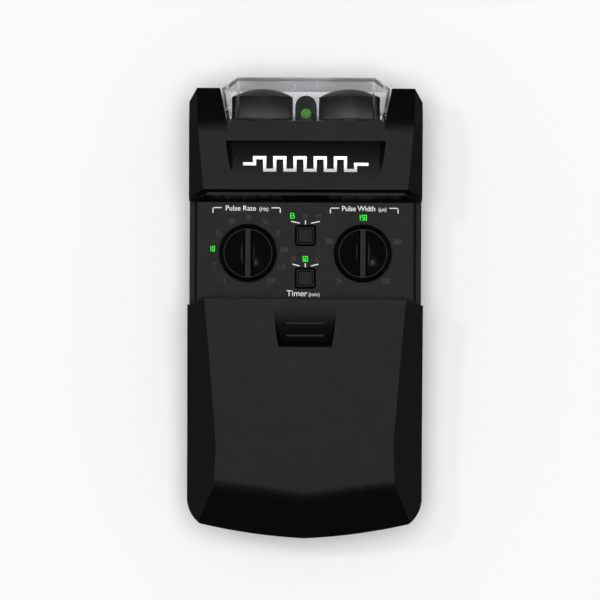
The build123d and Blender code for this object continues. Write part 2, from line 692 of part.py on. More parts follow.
def encoder(x):
    """Rotary encoder on the board, with a threaded bushing."""
    body = block((x - 6.0, x + 6.0), (DIAL_Y - 6.0, DIAL_Y + 6.0), (BOARD_Z[1], 17.6))
    body += rod("z", (x, DIAL_Y), 3.5, 17.5, 19.3)
    return body - rod("z", (x, DIAL_Y), SHAFT_RADIUS + 0.05, 16.0, 20.0)


def encoder_shaft(x):
    """Shaft that turns with a dial."""
    return rod("z", (x, DIAL_Y), SHAFT_RADIUS - 0.02, 16.2, DIAL_Z[0] - 0.25)


def button(y):
    """Square cap with a shallow dish, and the stem that reaches the switch."""
    low = PANEL_Z - 0.45
    cap = Pos(0, y, (low + BUTTON_TOP_Z) / 2) * Box(BUTTON_SIZE, BUTTON_SIZE, BUTTON_TOP_Z - low)
    cap = fillet(cap.edges().filter_by(Axis.Z), 0.6)
    cap = chamfer(cap.faces().sort_by(Axis.Z)[-1].edges(), 0.22)
    dish = 30.0
    cap -= Pos(0, y, BUTTON_TOP_Z + dish - 0.15) * Sphere(dish)
    return cap + rod("z", (0, y), 1.4, BUTTON_STEM_Z, low + 0.1)


def bezel(y):
    """Raised square ring round a button."""
    ring = Pos(0, y, PANEL_Z + 0.4) * Box(BEZEL_SIZE, BEZEL_SIZE, 0.8)
    ring = fillet(ring.edges().filter_by(Axis.Z), 0.9)
    ring = chamfer(ring.faces().sort_by(Axis.Z)[-1].edges(), 0.6)
    ring += Pos(0, y, (DECK_Z + PANEL_Z) / 2) * Box(BEZEL_FOOT, BEZEL_FOOT, PANEL_Z - DECK_Z)
    return ring - Pos(0, y, PANEL_Z) * Box(BEZEL_OPENING, BEZEL_OPENING, 4.0)


def push_switch(y):
    """Tall tactile switch under a button."""
    top_z = BUTTON_STEM_Z - BUTTON_TRAVEL - 0.05
    body = block((-3.0, 3.0), (y - 3.0, y + 3.0), (BOARD_Z[1], 15.1))
    return body + rod("z", (0, y), 1.7, 15.0, top_z)


# ---------------------------------------------------------------- electronics and power

def circuit_board():
    """Main board, narrower between the screw bosses."""
    low, high = BOARD_Z
    board = block((-27.6, 27.6), (2.8, 42.0), (low, high))
    return board + block((-24.8, 24.8), (41.0, 49.6), (low, high))


def microcontroller():
    """Flat-pack chip between the potentiometers."""
    chip = block((-3.5, 3.5), (41.5, 48.5), (BOARD_Z[1] + 0.1, BOARD_Z[1] + 1.4))
    for step in range(8):
        y = 42.2 + 0.8 * step
        chip += block((-4.6, 4.6), (y - 0.15, y + 0.15), (BOARD_Z[1], BOARD_Z[1] + 0.35))
    return chip


def reservoir_capacitor():
    """Electrolytic can standing on the board."""
    can = rod("z", (0, 35.6), 4.0, BOARD_Z[1] + 0.1, 20.6)
    return fillet(can.faces().sort_by(Axis.Z)[-1].edges(), 0.5)


def transformer_core(side):
    """Laminated core of an output transformer."""
    x_range = sorted((side * 15.2, side * 27.2))
    core = block(x_range, (33.6, 39.2), (BOARD_Z[1] + 0.8, 22.4))
    window = sorted((side * 17.2, side * 25.2))
    return core - block(window, (30.0, 45.0), (BOARD_Z[1] + 2.8, 20.4))


def transformer_coil(side):
    """Bobbin and winding through the core's window."""
    x_range = sorted((side * 17.4, side * 25.0))
    return block(x_range, (31.6, 41.2), (BOARD_Z[1] + 3.0, 20.2))


def light_guide():
    """Clear plate under the deck with one post up to each legend."""
    top = DECK_Z - DECK_SKIN
    plate = block((-28.1, 28.1), (3.6, 28.6), (top - 0.9, top))
    for x, y in legend_spots():
        plate += block((x - 0.9, x + 0.9), (y - 0.7, y + 0.7), (top - 0.5, DECK_Z - 0.05))
    for x in (-DIAL_X, DIAL_X):
        plate -= rod("z", (x, DIAL_Y), DIAL_HOLE_RADIUS, top - 2, DECK_Z)
    for y in BUTTON_Y.values():
        plate -= rod("z", (0, y), BUTTON_HOLE_RADIUS, top - 2, DECK_Z)
    return plate


def legend_leds():
    """One chip LED on the board under each legend."""
    chips = []
    for x, y in legend_spots():
        chips.append(block((x - 0.8, x + 0.8), (y - 0.4, y + 0.4), (BOARD_Z[1], BOARD_Z[1] + 0.6)))
    return Compound(children=chips)


def battery():
    """9 V block battery lying across the unit."""
    can = block(BATTERY_X, BATTERY_Y, BATTERY_Z)
    return fillet(can.edges().filter_by(Axis.X), 1.6)


def battery_middle():
    """Centre of the battery's terminal face in y and z."""
    return sum(BATTERY_Y) / 2, sum(BATTERY_Z) / 2


def battery_terminals():
    """The battery's two snap studs."""
    y, z = battery_middle()
    low = BATTERY_X[1]
    small = rod("x", (y + TERMINAL_OFFSET, z), 2.8, low, low + TERMINAL_HEIGHT)
    large = rod("x", (y - TERMINAL_OFFSET, z), 4.0, low, low + TERMINAL_HEIGHT)
    large -= rod("x", (y - TERMINAL_OFFSET, z), 2.9, low + 0.4, low + 4)
    return Compound(children=[small, large])


def snap_connector():
    """Snap cap over both battery studs."""
    y, z = battery_middle()
    low = BATTERY_X[1] + 0.1
    cap = block((low, 25.9), (y - 12.0, y + 12.0), (z - 6.0, z + 6.0))
    cap = fillet(cap.edges().filter_by(Axis.X), 3.0)
    for step, radius in ((TERMINAL_OFFSET, 2.9), (-TERMINAL_OFFSET, 4.1)):
        cap -= rod("x", (y + step, z), radius, low - 1, BATTERY_X[1] + TERMINAL_HEIGHT + 0.1)
    return cap


def battery_lead(x):
    """Insulated lead from the snap connector down to the board."""
    y, z = battery_middle()
    start = (x, y + 12.0, 16.0)
    path = FilletPolyline(start, (x, 6.0, 16.0), (x, 6.0, BOARD_Z[1]), radius=1.6)
    section = Plane(origin=start, z_dir=(0, 1, 0)) * Circle(0.55)
    return sweep(section, path=path)


def housing_screws():
    """Four screws from the back into the front housing."""
    screws = []
    for x, y in SCREW_SPOTS:
        screw = rod("z", (x, y), 1.7, BACK_Z + 0.4, BACK_Z + 1.9)
        screw += rod("z", (x, y), 1.1, BACK_Z + 1.9, DECK_Z - 1.6)
        screw -= cross_recess(x, y, BACK_Z + 0.4)
        screws.append(screw)
    return Compound(children=screws)


def cross_recess(x, y, z):
    """Cross-shaped driver recess opening downwards at height z."""
    long, thin, deep = 2.2, 0.5, 0.8
    recess = Pos(x, y, z) * Box(long, thin, 2 * deep)
    return recess + Pos(x, y, z) * Box(thin, long, 2 * deep)


# ---------------------------------------------------------------- belt clip

def clip_bracket():
    """Bracket on the back with two ears for the clip's pin."""
    plate = block((-13.2, 13.2), (26.6, 39.0), (BACK_Z - 1.8, BACK_Z))
    plate = fillet(plate.edges().filter_by(Axis.Z), 1.5)
    pin_y, pin_z = CLIP_PIN
    ear = block((11.6, 13.2), (pin_y - 2.2, pin_y + 2.2), (pin_z, BACK_Z - 1.0))
    ear += rod("x", CLIP_PIN, 2.2, 11.6, 13.2)
    plate += pair(ear)
    plate -= rod("x", CLIP_PIN, CLIP_PIN_RADIUS, -14.0, 14.0)
    for y in CLIP_SCREW_Y:
        plate -= rod("z", (0, y), 1.9, BACK_Z - 3, BACK_Z - 0.7)
        plate -= rod("z", (0, y), CLIP_SCREW_RADIUS, BACK_Z - 3, BACK_Z + 1)
    return plate


def belt_clip_arm():
    """Clip arm with pinch lever, knuckles round the pin and a lip at the free end."""
    low_y, high_y = CLIP_ARM_Y
    arm = block((-CLIP_ARM_HALF, CLIP_ARM_HALF), CLIP_ARM_Y, (0, CLIP_ARM_THICK))
    arm = fillet(arm.edges().filter_by(Axis.Z), 4.0)
    lip = [
        (low_y + 0.5, 0.4),
        (low_y + 0.5, 5.2),
        (low_y + 1.6, 6.2),
        (low_y + 2.8, 5.2),
        (low_y + 4.2, 1.2),
        (low_y + 4.2, 0.4),
    ]
    arm += side_prism(lip, -7.0, 7.0)
    pin_y, pin_z = CLIP_PIN
    knuckle = rod("x", CLIP_PIN, 1.6, 5.0, CLIP_ARM_HALF)
    knuckle += block((5.0, CLIP_ARM_HALF), (pin_y - 1.6, pin_y + 1.6), (0.5, pin_z))
    arm += pair(knuckle)
    arm -= rod("x", CLIP_PIN, CLIP_PIN_RADIUS + 0.06, -14.0, 14.0)
    for step in range(4):
        y = 36.2 + 1.3 * step
        arm -= block((-6.0, 6.0), (y - 0.3, y + 0.3), (-1.0, 0.35))
    return arm


def clip_pin():
    """Steel pin of the clip."""
    return rod("x", CLIP_PIN, CLIP_PIN_RADIUS, -13.2, 13.2)


def clip_spring():
    """Torsion spring round the pin, with one leg on the arm and one on the bracket."""
    wire = 0.25
    coil_radius = 1.35
    turns = 6
    pitch = 0.9
    height = turns * pitch
    pin_y, pin_z = CLIP_PIN
    path = Helix(pitch=pitch, height=height, radius=coil_radius)
    section = Plane(origin=path @ 0, z_dir=path % 0) * Circle(wire)
    coil = sweep(section, path=path, is_frenet=True)
    coil = Pos(-height / 2, pin_y, pin_z) * Rot(0, 90, 0) * coil
    arm_leg = rod("y", (height / 2, CLIP_ARM_THICK + 0.25), wire, pin_y - 8.0, pin_y)
    bracket_leg = rod("y", (-height / 2, pin_z + coil_radius), wire, pin_y - 5.5, pin_y)
    return Compound(children=[coil, arm_leg, bracket_leg])


def clip_screws():
    """Two screws that hold the bracket to the back."""
    screws = []
    for y in CLIP_SCREW_Y:
        screw = rod("z", (0, y), 1.8, BACK_Z - 1.7, BACK_Z - 0.7)
        screw += rod("z", (0, y), CLIP_SCREW_RADIUS, BACK_Z - 0.7, BOARD_Z[0] - 0.4)
        screw -= cross_recess(0, y, BACK_Z - 1.7)
        screws.append(screw)
    return Compound(children=screws)


def nodes():
    """Every piece of the unit by name."""
    pieces = {
        "rear_housing": rear_housing(),
        "front_housing": front_housing(),
        "control_panel": control_panel(),
        "pulse_emblem": pulse_emblem(),
        "sliding_cover": sliding_cover(),
        "clear_hood": clear_hood(),
        "hood_hinge_pins": hood_pins(),
        "led_post": led_post(),
        "output_led": output_led(),
        "rate_dial": dial(-DIAL_X),
        "width_dial": dial(DIAL_X),
        "rate_encoder": encoder(-DIAL_X),
        "width_encoder": encoder(DIAL_X),
        "rate_encoder_shaft": encoder_shaft(-DIAL_X),
        "width_encoder_shaft": encoder_shaft(DIAL_X),
        "button_bezels": Compound(children=[bezel(y) for y in BUTTON_Y.values()]),
        "circuit_board": circuit_board(),
        "microcontroller": microcontroller(),
        "reservoir_capacitor": reservoir_capacitor(),
        "light_guide": light_guide(),
        "legend_leds": legend_leds(),
        "battery": battery(),
        "battery_terminals": battery_terminals(),
        "snap_connector": snap_connector(),
        "battery_lead_positive": battery_lead(23.6),
        "battery_lead_negative": battery_lead(25.2),
        "housing_screws": housing_screws(),
        "clip_bracket": clip_bracket(),
        "belt_clip_arm": belt_clip_arm(),
        "clip_hinge_pin": clip_pin(),
        "clip_spring": clip_spring(),
        "clip_screws": clip_screws(),
    }
    for name, y in BUTTON_Y.items():
        pieces[name + "_button"] = button(y)
        pieces[name + "_switch"] = push_switch(y)
    for name, side in (("left", -1), ("right", 1)):
        pieces["intensity_knob_" + name] = intensity_knob(side)
        pieces["intensity_pot_" + name] = intensity_pot(side)
        pieces["intensity_shaft_" + name] = intensity_shaft(side)
        pieces["output_jack_" + name] = output_jack(side)
        pieces["jack_contact_" + name] = jack_contact(side)
        pieces["transformer_core_" + name] = transformer_core(side)
        pieces["transformer_coil_" + name] = transformer_coil(side)
    return pieces


os.makedirs("parts", exist_ok=True)
for name, shape in nodes().items():
    shape.label = name
    export_step(shape, f"parts/{name}.step")
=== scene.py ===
"""Looks of the handheld TENS unit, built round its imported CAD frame. Lengths are in metres."""
import json
import math

import bmesh
import bpy
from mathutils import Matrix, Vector


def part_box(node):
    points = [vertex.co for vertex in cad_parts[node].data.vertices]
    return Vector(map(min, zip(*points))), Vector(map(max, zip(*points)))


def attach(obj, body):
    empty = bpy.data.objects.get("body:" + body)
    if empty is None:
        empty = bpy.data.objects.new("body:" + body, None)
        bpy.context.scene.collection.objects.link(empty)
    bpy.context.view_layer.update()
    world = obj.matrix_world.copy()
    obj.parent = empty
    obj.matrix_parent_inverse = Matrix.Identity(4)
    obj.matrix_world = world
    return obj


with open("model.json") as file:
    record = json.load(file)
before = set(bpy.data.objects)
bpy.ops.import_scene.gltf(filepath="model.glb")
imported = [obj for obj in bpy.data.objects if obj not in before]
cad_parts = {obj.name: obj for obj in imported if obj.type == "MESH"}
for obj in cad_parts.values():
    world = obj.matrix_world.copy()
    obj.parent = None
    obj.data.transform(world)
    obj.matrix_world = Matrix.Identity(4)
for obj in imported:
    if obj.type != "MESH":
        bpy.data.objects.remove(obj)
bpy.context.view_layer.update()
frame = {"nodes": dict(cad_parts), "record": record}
nodes = frame["nodes"]
slot_of = {row["node"]: row["material_slot"] for row in frame["record"]["subparts"]}

MM = 0.001
MICRON = 0.000001
PANEL_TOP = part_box("control_panel")[1].z
PRINT_THICKNESS = 0.02 * MM


# ---------------------------------------------------------------- material tools

MIX_FIRST = 6
MIX_SECOND = 7
MIX_RESULT = 2
NO_STRETCH = (1.0, 1.0, 1.0)


class Surface:
    """One procedural material: a Principled shader and the nodes that feed it."""

    def __init__(self, name, colour, roughness, metallic=0.0, specular=0.5):
        self.material = bpy.data.materials.new(name)
        self.material.use_nodes = True
        self.tree = self.material.node_tree
        self.shader = self.tree.nodes["Principled BSDF"]
        self.colour = colour
        self.roughness = roughness
        self.set("Base Color", (*colour, 1.0))
        self.set("Roughness", roughness)
        self.set("Metallic", metallic)
        self.set("Specular IOR Level", specular)
        self.place = self.add("ShaderNodeTexCoord").outputs["Object"]

    def set(self, socket, value):
        self.shader.inputs[socket].default_value = value

    def add(self, kind, **settings):
        node = self.tree.nodes.new(kind)
        for key, value in settings.items():
            setattr(node, key, value)
        return node

    def link(self, source, target):
        self.tree.links.new(source, target)

    def feed(self, value, socket):
        """Links a node output to a socket, or sets the socket to a plain value."""
        if isinstance(value, bpy.types.NodeSocket):
            self.link(value, socket)
        else:
            socket.default_value = value

    def noise(self, size, detail=3.0, stretch=NO_STRETCH):
        """Noise whose features are about size metres across."""
        mapping = self.add("ShaderNodeMapping")
        mapping.inputs["Scale"].default_value = stretch
        self.link(self.place, mapping.inputs["Vector"])
        node = self.add("ShaderNodeTexNoise")
        node.inputs["Scale"].default_value = 1.0 / size
        node.inputs["Detail"].default_value = detail
        self.link(mapping.outputs["Vector"], node.inputs["Vector"])
        return node.outputs["Fac"]

    def remap(self, source, low, high, start=0.3, end=0.7):
        """Value that runs from low to high, and no further, as source runs from start to end."""
        node = self.add("ShaderNodeMapRange")
        node.inputs["From Min"].default_value = start
        node.inputs["From Max"].default_value = end
        node.inputs["To Min"].default_value = low
        node.inputs["To Max"].default_value = high
        self.link(source, node.inputs["Value"])
        return node.outputs["Result"]

    def ramp(self, axis, start, end, low=0.0, high=1.0):
        """Value that runs from low to high between two places along one axis."""
        split = self.add("ShaderNodeSeparateXYZ")
        self.link(self.place, split.inputs[0])
        return self.remap(split.outputs[axis], low, high, start, end)

    def combine(self, operation, first, second):
        node = self.add("ShaderNodeMath", operation=operation)
        self.feed(first, node.inputs[0])
        self.feed(second, node.inputs[1])
        return node.outputs[0]

    def blend(self, first, second, factor):
        """Base colour that goes from first to second, a colour each, as factor goes from 0 to 1."""
        mix = self.add("ShaderNodeMix", data_type="RGBA")
        self.feed(first, mix.inputs[MIX_FIRST])
        self.feed(second, mix.inputs[MIX_SECOND])
        self.link(factor, mix.inputs["Factor"])
        self.link(mix.outputs[MIX_RESULT], self.shader.inputs["Base Color"])
        return mix.outputs[MIX_RESULT]

    def mottle(self, size, spread):
        """Slow colour variation between a darker and a lighter shade."""
        dark = [channel * (1.0 - spread) for channel in self.colour]
        light = [min(1.0, channel * (1.0 + spread)) for channel in self.colour]
        return self.blend((*dark, 1.0), (*light, 1.0), self.remap(self.noise(size), 0.0, 1.0))

    def polish(self, size, spread, stretch=NO_STRETCH):
        """Uneven roughness."""
        source = self.noise(size, 4.0, stretch)
        rough = self.remap(source, self.roughness - spread, self.roughness + spread)
        self.link(rough, self.shader.inputs["Roughness"])
        return rough

    def relief(self, height, depth):
        """Bump of the given depth wherever height goes from 0 to 1."""
        bump = self.add("ShaderNodeBump")
        bump.inputs["Strength"].default_value = 1.0
        bump.inputs["Distance"].default_value = depth
        self.link(height, bump.inputs["Height"])
        self.link(bump.outputs["Normal"], self.shader.inputs["Normal"])

    def grain(self, size, depth, stretch=NO_STRETCH):
        """Fine relief of the given size and depth."""
        self.relief(self.noise(size, 2.0, stretch), depth)

    def edge_mask(self, radius, gain):
        """High along sharp edges, from how far a rounded normal leans from the true one."""
        bevel = self.add("ShaderNodeBevel", samples=4)
        bevel.inputs["Radius"].default_value = radius
        geometry = self.add("ShaderNodeNewGeometry")
        dot = self.add("ShaderNodeVectorMath", operation="DOT_PRODUCT")
        self.link(bevel.outputs["Normal"], dot.inputs[0])
        self.link(geometry.outputs["Normal"], dot.inputs[1])
        lean = self.combine("SUBTRACT", 1.0, dot.outputs["Value"])
        return self.combine("MINIMUM", self.combine("MULTIPLY", lean, gain), 1.0)


# ---------------------------------------------------------------- kinds of surface

def moulded_plastic(name, colour, roughness, specular, grain_depth=6 * MICRON):
    """Satin moulded plastic with a spark-eroded grain, faint flow mottling and polished edges."""
    s = Surface(name, colour, roughness, specular=specular)
    base = s.mottle(size=12 * MM, spread=0.10)
    s.grain(size=0.22 * MM, depth=grain_depth)
    rough = s.polish(size=4 * MM, spread=0.02)
    edges = s.edge_mask(radius=0.35 * MM, gain=3.0)
    handled = s.combine("MULTIPLY", edges, s.remap(s.noise(size=3 * MM), low=0.15, high=0.8))
    paler = [channel * 2.2 for channel in colour]
    s.blend(base, (*paler, 1.0), handled)
    smoother = s.combine("MULTIPLY", handled, -0.12)
    s.link(s.combine("ADD", rough, smoother), s.shader.inputs["Roughness"])
    return s.material


def gloss_plastic(name, colour, roughness, specular=0.3):
    """Glossy moulded plastic with faint orange peel and fine handling scratches."""
    s = Surface(name, colour, roughness, specular=specular)
    s.mottle(size=8 * MM, spread=0.08)
    s.polish(size=1.5 * MM, spread=0.04, stretch=(1.0, 6.0, 1.0))
    s.grain(size=1.6 * MM, depth=2 * MICRON)
    return s.material


def metal(name, colour, roughness, stretch=NO_STRETCH):
    """Metal with directional polish marks and slight tarnish."""
    s = Surface(name, colour, roughness, metallic=1.0)
    s.mottle(size=4 * MM, spread=0.10)
    s.polish(size=0.6 * MM, spread=0.08, stretch=stretch)
    s.grain(size=0.3 * MM, depth=2 * MICRON, stretch=stretch)
    return s.material


def clear_plastic(name, tint, roughness):
    """Clear plastic with faint moulding ripple and hairline scratches."""
    s = Surface(name, tint, roughness)
    s.set("Transmission Weight", 1.0)
    s.set("IOR", 1.28)
    s.polish(size=2 * MM, spread=0.012, stretch=(1.0, 8.0, 1.0))
    s.grain(size=9 * MM, depth=4 * MICRON)
    return s.material


def glowing(name, colour, strength, roughness=0.4):
    """Back-lit legend or lens, a little uneven."""
    s = Surface(name, colour, roughness, specular=0.06)
    s.mottle(size=1.2 * MM, spread=0.15)
    s.polish(size=0.8 * MM, spread=0.08)
    s.set("Emission Color", (*colour, 1.0))
    s.set("Emission Strength", strength)
    s.grain(size=0.4 * MM, depth=2 * MICRON)
    return s.material


def ink(name, colour):
    """Screen-printed ink with slightly broken coverage."""
    s = Surface(name, colour, roughness=0.55, specular=0.08)
    s.mottle(size=0.6 * MM, spread=0.10)
    s.polish(size=0.5 * MM, spread=0.08)
    s.grain(size=0.2 * MM, depth=3 * MICRON)
    return s.material


def board_mask(name, colour):
    """Solder mask over copper tracks that wander across the board."""
    copper_shade = (0.05, 0.30, 0.13, 1.0)
    s = Surface(name, colour, roughness=0.35)
    wave = s.add("ShaderNodeTexWave", wave_type="BANDS", bands_direction="DIAGONAL")
    wave.inputs["Scale"].default_value = 180.0
    wave.inputs["Distortion"].default_value = 6.0
    wave.inputs["Detail"].default_value = 1.0
    s.link(s.place, wave.inputs["Vector"])
    tracks = s.remap(wave.outputs["Fac"], low=0.0, high=1.0, start=0.62, end=0.68)
    s.blend(s.mottle(size=6 * MM, spread=0.12), copper_shade, tracks)
    s.polish(size=2 * MM, spread=0.06)
    s.relief(tracks, depth=30 * MICRON)
    return s.material


def graded_silver(name, low_y, high_y):
    """Bright trim that fades from white at its upper edge to grey at its lower one."""
    brushed = (0.1, 1.0, 1.0)
    s = Surface(name, (0.80, 0.81, 0.82), roughness=0.32, metallic=0.35)
    s.blend((0.16, 0.16, 0.165, 1.0), (0.88, 0.88, 0.89, 1.0), s.ramp("Y", low_y, high_y))
    s.polish(size=0.4 * MM, spread=0.07, stretch=brushed)
    s.grain(size=0.2 * MM, depth=2 * MICRON, stretch=brushed)
    return s.material


def flared_knob(name, base_y, tip_y):
    """Soft-touch knob plastic, a little paler towards its base flange, where light is painted into
    its colour.
    """
    painted_flare_light = (0.10, 0.10, 0.101, 1.0)
    s = Surface(name, (0.003, 0.003, 0.0032), roughness=0.40, specular=0.04)
    base = s.mottle(size=6 * MM, spread=0.10)
    near_base = s.combine("POWER", s.ramp("Y", base_y, tip_y, low=1.0, high=0.0), 3.0)
    # painted light: the knob's colour turns paler towards its base flange
    s.blend(base, painted_flare_light, near_base)
    s.polish(size=3 * MM, spread=0.06)
    s.grain(size=0.25 * MM, depth=6 * MICRON)
    return s.material


def banded_label(name):
    """Plain battery jacket: dark with one copper-coloured end."""
    copper = (0.55, 0.27, 0.10, 1.0)
    s = Surface(name, (0.02, 0.02, 0.022), roughness=0.3, metallic=0.4)
    band = s.ramp("X", start=-12.5 * MM, end=-12.0 * MM, low=1.0, high=0.0)
    s.blend(s.mottle(size=6 * MM, spread=0.08), copper, band)
    s.polish(size=2 * MM, spread=0.05)
    s.grain(size=0.9 * MM, depth=4 * MICRON)
    return s.material


# ---------------------------------------------------------------- materials of the record's slots

FINE_GRAIN = 3 * MICRON
DULL_BLACK = (0.02, 0.02, 0.02)
KEY_BLACK = (0.0034, 0.0034, 0.0035)
HOUSING_BLACK = (0.0016, 0.0016, 0.0017)
PANEL_BLACK = (0.0030, 0.0030, 0.0031)
DIAL_BLACK = (0.0020, 0.0020, 0.0021)
# pale grey of the pointer inlays: partly their own colour, partly painted light on each dial bar's
# flat top
POINTER_GREY_AND_PAINTED_LIGHT = (0.0052, 0.0052, 0.0053)


def make_materials():
    """The material of each record slot, from its colour, roughness and specular level or stretch."""
    knob_low, knob_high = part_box("intensity_knob_left")
    emblem_low, emblem_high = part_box("pulse_emblem")
    return {
        "black_housing": moulded_plastic("housing_abs", HOUSING_BLACK, 0.34, 0.045),
        "panel_black": moulded_plastic("panel_film", PANEL_BLACK, 0.36, 0.047, FINE_GRAIN),
        "knob_black": flared_knob("knob_nylon", knob_low.y, knob_high.y),
        "dial_black": gloss_plastic("dial_abs", DIAL_BLACK, 0.145, 0.031),
        "clear_plastic": clear_plastic("hood_polycarbonate", (0.975, 0.987, 0.995), 0.02),
        "silver_trim": graded_silver("emblem_silver", emblem_low.y, emblem_high.y),
        "green_led": glowing("led_epoxy", (0.05, 0.17, 0.035), 0.50, 0.15),
        "light_guide_clear": clear_plastic("guide_acrylic", (0.95, 0.98, 0.97), 0.08),
        "board_green": board_mask("board_mask", (0.012, 0.11, 0.04)),
        "chip_black": moulded_plastic("chip_epoxy", DULL_BLACK, 0.5, 0.3),
        "led_white": gloss_plastic("chip_led", (0.8, 0.78, 0.6), 0.3),
        "pot_metal": metal("pot_can", (0.60, 0.60, 0.61), 0.34, (8.0, 1.0, 1.0)),
        "shaft_metal": metal("turned_shaft", (0.16, 0.16, 0.165), 0.52, (1.0, 1.0, 10.0)),
        "switch_black": moulded_plastic("switch_body", (0.02, 0.02, 0.021), 0.45, 0.3),
        "capacitor_sleeve": gloss_plastic("capacitor_sleeve", (0.02, 0.035, 0.12), 0.25),
        "core_steel": metal("core_laminations", (0.20, 0.20, 0.21), 0.5, (1.0, 20.0, 1.0)),
        "coil_tape": gloss_plastic("coil_tape", (0.62, 0.44, 0.05), 0.35),
        "brass_contact": metal("contact_brass", (0.72, 0.52, 0.22), 0.28, (1.0, 12.0, 1.0)),
        "battery_label": banded_label("battery_jacket"),
        "battery_stud": metal("battery_nickel", (0.70, 0.69, 0.67), 0.25),
        "snap_black": moulded_plastic("snap_vinyl", DULL_BLACK, 0.55, 0.3),
        "lead_red": gloss_plastic("lead_red", (0.45, 0.02, 0.015), 0.4),
        "lead_black": gloss_plastic("lead_black", (0.015, 0.015, 0.015), 0.4),
        "steel_screw": metal("screw_zinc", (0.50, 0.50, 0.52), 0.32),
        "clip_black": moulded_plastic("clip_nylon", (0.012, 0.012, 0.0125), 0.42, 0.12),
        "spring_steel": metal("spring_wire", (0.45, 0.45, 0.46), 0.30, (12.0, 1.0, 1.0)),
    }


# ---------------------------------------------------------------- CAD nodes

KEY_NODES = ("mode_button", "timer_button", "led_post")
SHELL_NODES = ("front_housing", "rear_housing", "sliding_cover", "clear_hood")
FLAT_ANGLE = 0.4
SHELL_EDGE_ANGLE = 13
OTHER_EDGE_ANGLE = 28
EDGE_RADIUS_MM = {
    "front_housing": 0.22,
    "rear_housing": 0.25,
    "sliding_cover": 0.28,
    "clear_hood": 0.18,
    "control_panel": 0.05,
    "belt_clip_arm": 0.3,
    "clip_bracket": 0.15,
    "rate_dial": 0.045,
    "width_dial": 0.045,
    "intensity_knob_left": 0.2,
    "intensity_knob_right": 0.2,
    "led_post": 0.2,
    "button_bezels": 0.06,
    "mode_button": 0.08,
    "timer_button": 0.08,
    "pulse_emblem": 0.05,
    "battery": 0.15,
    "snap_connector": 0.25,
}


def smooth_faces(obj):
    """Smooth shading in place of the frame's stored normals."""
    mesh = obj.data
    if "custom_normal" in mesh.attributes:
        mesh.attributes.remove(mesh.attributes["custom_normal"])
    mesh.shade_smooth()


def soften(obj, radius, least_angle):
    """Rounded edges on a CAD node, by modifiers alone, where faces turn by least_angle or more."""
    weld = obj.modifiers.new("weld", "WELD")
    weld.merge_threshold = 2 * MICRON
    flat = obj.modifiers.new("flat_faces", "DECIMATE")
    flat.decimate_type = "DISSOLVE"
    flat.angle_limit = math.radians(FLAT_ANGLE)
    bevel = obj.modifiers.new("edge_radius", "BEVEL")
    bevel.width = radius
    bevel.segments = 3
    bevel.limit_method = "ANGLE"
    bevel.angle_limit = math.radians(least_angle)
    bevel.use_clamp_overlap = True
    bevel.miter_outer = "MITER_ARC"
    even = obj.modifiers.new("even_shading", "WEIGHTED_NORMAL")
    even.weight = 80


def dress_nodes(materials):
    """Gives every CAD node its slot's material, the keys a key plastic instead, and the listed nodes
    their edge radius.
    """
    key_plastic = moulded_plastic("key_abs", KEY_BLACK, 0.38, 0.046)
    for name, obj in nodes.items():
        obj.data.materials.clear()
        obj.data.materials.append(key_plastic if name in KEY_NODES else materials[slot_of[name]])
        if name in EDGE_RADIUS_MM:
            least_angle = SHELL_EDGE_ANGLE if name in SHELL_NODES else OTHER_EDGE_ANGLE
            smooth_faces(obj)
            soften(obj, EDGE_RADIUS_MM[name] * MM, least_angle)


# ---------------------------------------------------------------- print tools

def add_bar(bm, start, end, width, z, thick):
    """Flat bar with squared ends, half a width past each of two points."""
    start = Vector(start)
    end = Vector(end)
    along = (end - start).normalized() * (width / 2)
    across = Vector((-along.y, along.x))
    corners = [
        start - along - across,
        end + along - across,
        end + along + across,
        start - along + across,
    ]
    low = [bm.verts.new((p.x, p.y, z)) for p in corners]
    high = [bm.verts.new((p.x, p.y, z + thick)) for p in corners]
    bm.faces.new(high)
    bm.faces.new(low[::-1])
    for i in range(4):
        j = (i + 1) % 4
        bm.faces.new((low[i], low[j], high[j], high[i]))


def piece_from(bm, name, material, body):
    """Turns a bmesh into a named piece that rides on a body."""
    mesh = bpy.data.meshes.new(name)
    bm.to_mesh(mesh)
    bm.free()
    mesh.materials.append(material)
    obj = bpy.data.objects.new(name, mesh)
    bpy.context.scene.collection.objects.link(obj)
    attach(obj, body)


# ---------------------------------------------------------------- back-lit legends

# Strokes of each character, in a box one wide and one high.
GLYPHS = {
    "0": [[(0, 0), (1, 0), (1, 1), (0, 1), (0, 0)]],
    "1": [[(0.5, 0), (0.5, 1)]],
    "2": [[(0, 1), (1, 1), (1, 0.5), (0, 0.5), (0, 0), (1, 0)]],
    "3": [[(0, 1), (1, 1), (1, 0), (0, 0)], [(0.2, 0.5), (1, 0.5)]],
    "5": [[(1, 1), (0, 1), (0, 0.5), (1, 0.5), (1, 0), (0, 0)]],
    "6": [[(1, 1), (0, 1), (0, 0), (1, 0), (1, 0.5), (0, 0.5)]],
    "7": [[(0, 1), (1, 1), (0.6, 0)]],
    "B": [
        [(0, 0), (0, 1), (0.85, 1), (0.85, 0.5), (0, 0.5)],
        [(0.85, 0.5), (1, 0.4), (1, 0), (0, 0)],
    ],
    "N": [[(0, 0), (0, 1), (1, 0), (1, 1)]],
    "M": [[(0, 0), (0, 1), (0.5, 0.35), (1, 1), (1, 0)]],
    "C": [[(1, 1), (0, 1), (0, 0), (1, 0)]],
}
GLYPH_GAP = 0.26 * MM
LETTER_WIDTH = 1.0 * MM
DIGIT_WIDTH = 0.5 * MM
LIT_HEIGHT = 1.34 * MM
LIT_STROKE = 0.18 * MM
UNLIT_HEIGHT = 1.5 * MM
UNLIT_STROKE = 0.22 * MM

